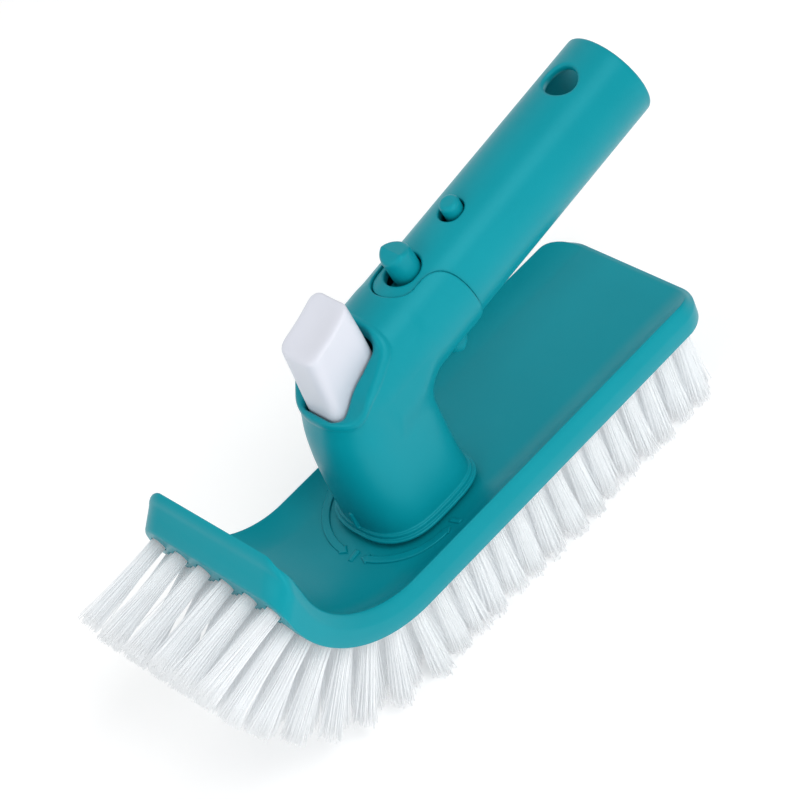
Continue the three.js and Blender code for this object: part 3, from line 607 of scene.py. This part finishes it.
def build_spring(steps=24, sides=10):
    """The button's return spring, drawn at rest as a fixed coil."""
    turns = np.linspace(0, COILS, steps * COILS + 1)
    around_wire = np.arange(sides) * 2 * math.pi / sides
    rise = SPRING_HIGH - SPRING_LOW - 2 * WIRE_RADIUS
    rings = []
    for turn in turns:
        out = np.array([math.cos(2 * math.pi * turn), math.sin(2 * math.pi * turn), 0.0])
        centre = COIL_RADIUS * out + np.array([SPRING_X, 0, SPRING_LOW + WIRE_RADIUS + rise * turn / COILS])
        rings.append(centre + WIRE_RADIUS * (np.outer(np.cos(around_wire), out)
                                             + np.outer(np.sin(around_wire), [0, 0, 1])))
    piece = mesh_piece("return_spring", np.concatenate(rings), tube_faces(len(turns), sides))
    finish_piece(piece, "steel", "elbow", "button_spring")
    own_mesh(piece)


# ------------------------------------------------------------------ head

def smoothstep(x, low, high):
    t = np.clip((x - low) / (high - low), 0, 1)
    return t * t * (3 - 2 * t)


def top_height(s, w):
    """Height of the dished top: the rim sinks along the curl and closes the dish at the curled end."""
    rim = RIM - LIP_DROP * smoothstep(turn_at(s), 0.3, 1.4)
    side = (np.abs(w) - DISH_FLAT) / (HALF_WIDTH - RIM_INSET - DISH_FLAT)
    end = 1 - (s - HEAD_START + RIM_REACH) / LIP_WIDTH
    reach = np.clip(smooth_max(side, end, 0.25), 0, 1)
    return rim * reach ** DISH_POWER


ACROSS = 72
CORNER_STEPS = 20
# Edge from the dish to the ridge, as (inset, share of the drop from rim to ridge), and down the wall, as
# (inset, height).
RIM_PROFILE = [(2.05, 0.015), (1.8, 0.06), (1.55, 0.14), (1.05, 0.40), (0.55, 0.68), (0.28, 0.84),
               (0.1, 0.95)]
WALL_PROFILE = [(0.0, RIDGE - 0.35), (0.0, RIDGE - 2.5), (0.0, BOTTOM + 0.7), (0.2, BOTTOM + 0.2)]


def plan_rows(inset, reach):
    """Rows of plan positions (s, w) over the head's outline, from the curled end.

    The outline is drawn in by inset, but at the curled end it reaches past the bottom edge.
    """
    angles = np.linspace(0, math.pi / 2, CORNER_STEPS + 1)
    start_centre = HEAD_START - reach + CURL_CORNER
    end_centre = END_X - END_CORNER
    straight = np.concatenate([
        np.linspace(start_centre, CURL_START, 72, endpoint=False)[1:],
        np.linspace(CURL_START, end_centre, 40, endpoint=False)])

    def corner(centre, along_radius, outer, angle):
        return centre + along_radius * math.cos(angle), HALF_WIDTH - outer + (outer - inset) * math.sin(angle)

    stations = [corner(start_centre, -CURL_CORNER, CURL_CORNER, a) for a in angles]
    stations += [(s, HALF_WIDTH - inset) for s in straight]
    stations += [corner(end_centre, END_CORNER - inset, END_CORNER, a) for a in angles[::-1]]
    return [np.stack([np.full(ACROSS + 1, s), np.linspace(-half, half, ACROSS + 1)], axis=1)
            for s, half in stations]


def around(rows):
    """Items of the outermost rows and columns, in order round the outline."""
    last = len(rows) - 1
    right = [row[0] for row in rows[:last]]
    end = list(rows[last][:-1])
    left = [row[-1] for row in rows[1:]][::-1]
    start = list(rows[0][1:])[::-1]
    return right + end + left + start


def head_blank():
    """The head without marks or sockets, as a closed mesh: top grid, rounded rim bands, wall, bottom grid."""
    vertices, faces = [], []

    def add_points(plan, height):
        first = len(vertices)
        vertices.extend(place(plan[:, 0], plan[:, 1], height).tolist())
        return list(range(first, first + len(plan)))

    def grid(inset, reach, height):
        return [add_points(row, height(row[:, 0], row[:, 1])) for row in plan_rows(inset, reach)]

    def band(upper, lower):
        for i, a in enumerate(upper):
            j = (i + 1) % len(upper)
            faces.append((a, lower[i], lower[j], upper[j]))

    top = grid(RIM_INSET, RIM_REACH, top_height)
    bottom = grid(0.7, -0.7, lambda s, w: np.full_like(w, BOTTOM))
    for i in range(len(top) - 1):
        for j in range(ACROSS):
            faces.append((top[i][j], top[i + 1][j], top[i + 1][j + 1], top[i][j + 1]))
            faces.append((bottom[i][j], bottom[i][j + 1], bottom[i + 1][j + 1], bottom[i + 1][j]))
    inner = np.array(around(plan_rows(RIM_INSET, RIM_REACH)))
    rim_height = top_height(inner[:, 0], inner[:, 1])
    ring = around(top)
    for inset, share in RIM_PROFILE:
        plan = np.array(around(plan_rows(inset, RIDGE_REACH + (RIM_REACH - RIDGE_REACH) * (1 - share ** 2))))
        below = add_points(plan, rim_height + (RIDGE - rim_height) * share)
        band(ring, below)
        ring = below
    for inset, height in WALL_PROFILE:
        plan = np.array(around(plan_rows(inset, RIDGE_REACH * (height - BOTTOM) / (RIDGE - BOTTOM) - inset)))
        below = add_points(plan, np.full(len(plan), height))
        band(ring, below)
        ring = below
    band(ring, around(bottom))
    return mesh_piece("head_blank", vertices, faces)


def mesh_piece(name, vertices, faces):
    """An object from points in millimetres, smooth, with its faces pointing out."""
    mesh = bpy.data.meshes.new(name)
    mesh.from_pydata(in_metres(np.array(vertices)), [], faces)
    work = bmesh.new()
    work.from_mesh(mesh)
    bmesh.ops.remove_doubles(work, verts=work.verts, dist=1e-7)
    bmesh.ops.recalc_face_normals(work, faces=work.faces)
    work.to_mesh(mesh)
    work.free()
    mesh.polygons.foreach_set("use_smooth", [True] * len(mesh.polygons))
    return link(name, mesh)


# Tuft lattice: 44 rows, alternately six and five tufts, evenly spaced along the underside.
WIDE_ROW = 6
TUFT_PITCH = 9.9
EDGE_MARGIN = 6.4
TUFT_RADIUS = 2.5
SOCKET_DEPTH = 3.0
SOCKET_SIDES = 16
ROWS = 2 * len(ROW_NODES)
BOTTOM_RADIUS = CURL_RADIUS - BOTTOM


def tuft_lattice():
    """Unrolled position (s, w) of every tuft, row by row from the curled end."""
    first = CURL_START - BOTTOM_RADIUS * CURL_TURN - CURL_STRAIGHT + EDGE_MARGIN
    distance = np.linspace(first, END_X - EDGE_MARGIN, ROWS)
    rows = []
    for k, t in enumerate(distance):
        rolled = np.clip(CURL_START - t, 0, BOTTOM_RADIUS * CURL_TURN)
        s = t + rolled * (1 - CURL_RADIUS / BOTTOM_RADIUS)
        count = WIDE_ROW - k % 2
        rows.append([(s, (j - (count - 1) / 2) * TUFT_PITCH) for j in range(count)])
    return rows


def upright_ring(s, w, radius, h, sides):
    """A ring round a tuft's axis at height h, as world points."""
    angle = np.arange(sides) * 2 * math.pi / sides
    foot = place(np.array([s]), np.array([w]), np.array([0.0]))[0]
    up = place(np.array([s]), np.array([w]), np.array([1.0]))[0] - foot
    along = np.cross([0, 1, 0], up)
    return (foot + h * up + radius * np.outer(np.cos(angle), along)
            + radius * np.outer(np.sin(angle), [0, 1, 0]))


def tube_faces(rings, sides, first=0):
    """Side and end faces of a closed prism through rings of equal size."""
    faces = []
    for k in range(rings - 1):
        for i in range(sides):
            j = (i + 1) % sides
            a = first + k * sides
            faces.append((a + i, a + j, a + sides + j, a + sides + i))
    faces.append(tuple(first + i for i in reversed(range(sides))))
    faces.append(tuple(first + (rings - 1) * sides + i for i in range(sides)))
    return faces


def boolean(target, tool, operation):
    """Applies tool to target with the manifold solver and deletes the tool."""
    modifier = target.modifiers.new("boolean", "BOOLEAN")
    modifier.operation = operation
    modifier.solver = "MANIFOLD"
    modifier.object = tool
    apply_modifiers(target)
    bpy.data.objects.remove(tool)


def apply_modifiers(piece):
    graph = bpy.context.evaluated_depsgraph_get()
    graph.update()
    mesh = bpy.data.meshes.new_from_object(piece.evaluated_get(graph))
    piece.modifiers.clear()
    piece.data = mesh


def sharpen(piece, degrees):
    """Smooth shading that breaks at edges sharper than the given angle."""
    piece.data.polygons.foreach_set("use_smooth", [True] * len(piece.data.polygons))
    piece.data.set_sharp_from_angle(angle=math.radians(degrees))


MARK_RADIUS = 22.0
MARK_HEIGHT = 0.6
MARK_TURN = 8.0  # degrees by which the middle bar stands off the line of the head


def ring_mark_field(x, y, z):
    """Three bars a quarter turn apart with a double-headed arrow between each pair, raised off the dish."""
    radius = length(x, y)
    from_middle = (np.degrees(np.arctan2(y, x)) - MARK_TURN) % 360.0 - 180.0
    angle = from_middle % 90.0
    from_bar = np.minimum(angle, 90 - angle)
    arc = radius * np.radians(from_bar)
    bar = smooth_max(np.abs(radius - MARK_RADIUS) - 2.2, arc - 0.8, 0.3)
    shaft = smooth_max(np.abs(radius - MARK_RADIUS) - 1.3, 12.0 - from_bar, 0.3)
    tip = radius * np.radians(from_bar - 6.5)
    head = smooth_max((np.abs(radius - MARK_RADIUS) - tip * 0.8) * 0.78, tip - 2.5, 0.3)
    plan = np.minimum(np.minimum(bar, shaft), head)
    plan = smooth_max(plan, radius * np.radians(np.abs(from_middle) - 94.0), 0.1)
    surface = top_height(x, y)
    return smooth_max(smooth_max(plan, z - surface - MARK_HEIGHT, 0.45), surface - 1.0 - z, 0.1)


def build_head(cell):
    head = head_blank()
    tools = []
    for row in tuft_lattice():
        for s, w in row:
            ends = (BOTTOM - 1, BOTTOM + SOCKET_DEPTH)
            rings = [upright_ring(s, w, TUFT_RADIUS + 0.25, h, SOCKET_SIDES) for h in ends]
            tools.append(np.concatenate(rings))
    faces = []
    for k in range(len(tools)):
        faces += tube_faces(2, SOCKET_SIDES, 2 * SOCKET_SIDES * k)
    boolean(head, mesh_piece("sockets", np.concatenate(tools), faces), "DIFFERENCE")
    # The post's seat, and the hexagonal boss with its screw hole.
    boolean(head, prism(9.3, -1.5, 10, 64), "DIFFERENCE")
    boolean(head, prism(3.3, -3.0, 7.2, 6), "UNION")
    boolean(head, prism(1.8, 0.7, 9, 32), "DIFFERENCE")
    sharpen(head, 32)
    marks = field_mesh("ring_marks", ring_mark_field, (-26, -26, -1), (26, 26, 3.4), cell)
    head = merged("head_moulding", head, marks)
    return finish_piece(head, "teal_plastic", "head", "brush_plate")


def merged(name, *pieces):
    """One object from several, each keeping its own normals."""
    with bpy.context.temp_override(active_object=pieces[0], object=pieces[0], selected_objects=list(pieces),
                                   selected_editable_objects=list(pieces)):
        bpy.ops.object.join()
    pieces[0].name = name
    return pieces[0]


def prism(radius, low, high, sides):
    """A regular prism on the swivel axis, with a corner across the head."""
    angle = np.arange(sides) * 2 * math.pi / sides + math.pi / 2
    ring = np.stack([radius * np.cos(angle), radius * np.sin(angle)], axis=1)
    vertices = np.concatenate([np.column_stack([ring, np.full(sides, h)]) for h in (low, high)])
    return mesh_piece("prism", vertices, tube_faces(2, sides))


# ------------------------------------------------------------------ bristles

FILAMENTS = 72
FILAMENT_RADIUS = 0.20
FILAMENT_SIDES = 4
FILAMENT_STEPS = 5
SPLAY = 1.62  # spread of a tuft's tips, as a multiple of its root
LEAN = 0.55  # sideways drift of a whole tuft's tip, and of one filament's
STRAY = 0.42
WILD_SHARE = 0.03  # filaments that stray further, and by how many times
WILD_STRAY = 3.0
GOLDEN = math.pi * (3 - math.sqrt(5))


def tuft_filaments(s, w, rng):
    """Points of one tuft's filaments, as [filament, step, side, xyz]."""
    count = FILAMENTS
    index = np.arange(count)
    root_radius = (TUFT_RADIUS - FILAMENT_RADIUS) * np.sqrt((index + 0.5) / count)
    root_angle = index * GOLDEN + rng.uniform(0, 2 * math.pi)
    root = np.stack([root_radius * np.cos(root_angle), root_radius * np.sin(root_angle)], axis=1)
    root += rng.normal(0, 0.06, root.shape)
    lean = rng.normal(0, LEAN, 2)
    stray = rng.normal(0, STRAY, (count, 2))
    wild = rng.random(count) < WILD_SHARE
    stray[wild] *= WILD_STRAY
    reach = BOTTOM - TIPS_Z
    tip_length = reach - 0.25 + np.clip(rng.normal(-0.5, 0.55, count), -2.2, 0.25)
    tip = root * SPLAY + lean + stray
    steps = np.linspace(0, 1, FILAMENT_STEPS) ** 0.8
    depth = SOCKET_DEPTH - 0.6
    h = BOTTOM + depth - steps[None, :] * (tip_length[:, None] + depth)
    bend = np.clip((steps - 0.12) / 0.88, 0, 1) ** 1.35
    plan = root[:, None, :] + (tip - root)[:, None, :] * bend[None, :, None]
    foot = place(np.array([s]), np.array([w]), np.array([0.0]))[0]
    up = place(np.array([s]), np.array([w]), np.array([1.0]))[0] - foot
    along = np.cross([0, 1, 0], up)
    across = np.array([0.0, 1.0, 0.0])
    centre = foot + h[..., None] * up + plan[..., 0:1] * along + plan[..., 1:2] * across
    side_angle = np.arange(FILAMENT_SIDES) * 2 * math.pi / FILAMENT_SIDES
    ring = np.cos(side_angle)[:, None] * along + np.sin(side_angle)[:, None] * across
    taper = FILAMENT_RADIUS * (1 - 0.25 * steps)
    return centre[:, :, None, :] + taper[None, :, None, None] * ring[None, None, :, :]


def build_bristles():
    lattice = tuft_lattice()
    one = tube_faces(FILAMENT_STEPS, FILAMENT_SIDES)
    per_filament = FILAMENT_STEPS * FILAMENT_SIDES
    for k, node in enumerate(ROW_NODES):
        rng = np.random.default_rng(100 + k)
        tufts = [tuft_filaments(s, w, rng) for s, w in lattice[2 * k] + lattice[2 * k + 1]]
        points = np.concatenate(tufts).reshape(-1, 3)
        total = len(points) // per_filament
        faces = []
        for i in range(total):
            base = i * per_filament
            faces += [tuple(v + base for v in face) for face in one]
        mesh = bpy.data.meshes.new(node.replace("row", "tufts"))
        mesh.from_pydata(in_metres(points), [], faces)
        mesh.polygons.foreach_set("use_smooth", [len(p.vertices) == 4 for p in mesh.polygons])
        finish_piece(link(mesh.name, mesh), "nylon_bristle", "head", node)


# ------------------------------------------------------------------ inner pieces that stay as CAD

def dress_inner_nodes():
    slots = {row["node"]: row["material_slot"] for row in frame["record"]["subparts"]}
    for name, node in frame["nodes"].items():
        node.data.materials.clear()
        node.data.materials.append(SLOTS[slots[name]])


# ------------------------------------------------------------------ stage

def build_stage():
    centre = Vector(((cad_box[0][0] + cad_box[1][0]) / 2, 0, 0))  # the bristles' tips rest on Z = 0
    # A sheet that runs back and sweeps up behind the brush.
    size, steps = 4.0, 24
    vertices, faces = [], []
    profile = [(-size, 0.0), (1.2, 0.0)]
    sweep = np.linspace(0.1, math.pi / 2, steps)
    profile += [(1.2 + 0.8 * math.sin(a), 0.8 - 0.8 * math.cos(a)) for a in sweep]
    profile += [(2.0, 4.0)]
    for y, z in profile:
        vertices += [(-size, y, z), (size, y, z)]
    for i in range(len(profile) - 1):
        faces.append((2 * i, 2 * i + 1, 2 * i + 3, 2 * i + 2))
    mesh = bpy.data.meshes.new("backdrop")
    mesh.from_pydata(vertices, [], faces)
    mesh.polygons.foreach_set("use_smooth", [True] * len(mesh.polygons))
    backdrop = link("backdrop", mesh)
    backdrop.location = centre
    paper = bpy.data.materials.new("paper")
    paper.use_nodes = True
    shader = paper.node_tree.nodes["Principled BSDF"]
    shader.inputs["Base Color"].default_value = (0.95, 0.95, 0.95, 1)
    shader.inputs["Roughness"].default_value = 0.9
    shader.inputs["Emission Color"].default_value = (1, 1, 1, 1)
    shader.inputs["Emission Strength"].default_value = 0.16
    mesh.materials.append(paper)


def area_light(name, direction, distance, size, power, target, colour=(1, 1, 1)):
    light = bpy.data.lights.new(name, "AREA")
    light.shape = "RECTANGLE"
    light.size, light.size_y = size
    light.energy = power
    light.color = colour
    lamp = bpy.data.objects.new(name, light)
    lamp.location = target + Vector(direction).normalized() * distance
    lamp.rotation_euler = (target - lamp.location).to_track_quat("-Z", "Y").to_euler()
    bpy.context.scene.collection.objects.link(lamp)


# Viewing angle: azimuth from straight ahead, elevation, and the camera's roll.
AZIMUTH = -27.83
ELEVATION = 42.94
ROLL = 25.02
DISTANCE = 0.90
LENS = 139.655
# Where the middle of the dish falls in the picture, right and up of its centre, as a share of its width.
DISH_RIGHT = -0.0029
DISH_UP = -0.1264


def build_camera():
    azimuth, elevation = math.radians(AZIMUTH), math.radians(ELEVATION)
    towards = Vector((math.sin(azimuth) * math.cos(elevation), -math.cos(azimuth) * math.cos(elevation),
                      math.sin(elevation)))
    right = Vector((0, 0, 1)).cross(towards).normalized()
    up = towards.cross(right)
    turn = Matrix.Rotation(math.radians(-ROLL), 3, towards)
    right, up = turn @ right, turn @ up
    width = 0.036 / (LENS * MM) * DISTANCE
    target = Vector(LIFT * MM) - (right * DISH_RIGHT + up * DISH_UP) * width
    data = bpy.data.cameras.new("camera")
    data.lens = LENS
    data.clip_start = 0.05
    camera = bpy.data.objects.new("camera", data)
    basis = Matrix((right, up, towards)).transposed().to_4x4()
    camera.matrix_world = Matrix.Translation(target + towards * DISTANCE) @ basis
    bpy.context.scene.collection.objects.link(camera)
    bpy.context.scene.camera = camera
    return target, right, up, towards


def build_light(target, right, up, towards):
    area_light("key", right * 0.2 + up * 0.45 + towards * 0.9, 1.1, (0.7, 0.5), 3.6, target)
    area_light("front", Vector((-0.15, -1.0, 0.25)), 1.2, (1.0, 0.8), 4.6, target)
    area_light("left", Vector((-1.0, -0.1, 0.55)), 1.2, (1.0, 0.8), 3.4, target)
    area_light("top", Vector((0.2, 0.3, 1.0)), 1.2, (1.2, 0.8), 1.5, target)
    world = bpy.data.worlds.new("studio")
    world.use_nodes = True
    background = world.node_tree.nodes["Background"]
    background.inputs["Color"].default_value = (1, 1, 1, 1)
    background.inputs["Strength"].default_value = 0.50
    bpy.context.scene.world = world
    bpy.context.scene.view_settings.view_transform = "Standard"


# ------------------------------------------------------------------ assembly

CELL = 0.42

dress_inner_nodes()
build_head(CELL * 0.7)
build_yoke(CELL)
build_spigot(CELL)
build_arms(CELL * 0.6)
build_bow(CELL)
build_button(CELL)
build_spring()
build_bristles()
build_stage()
view_axes = build_camera()
build_light(*view_axes)
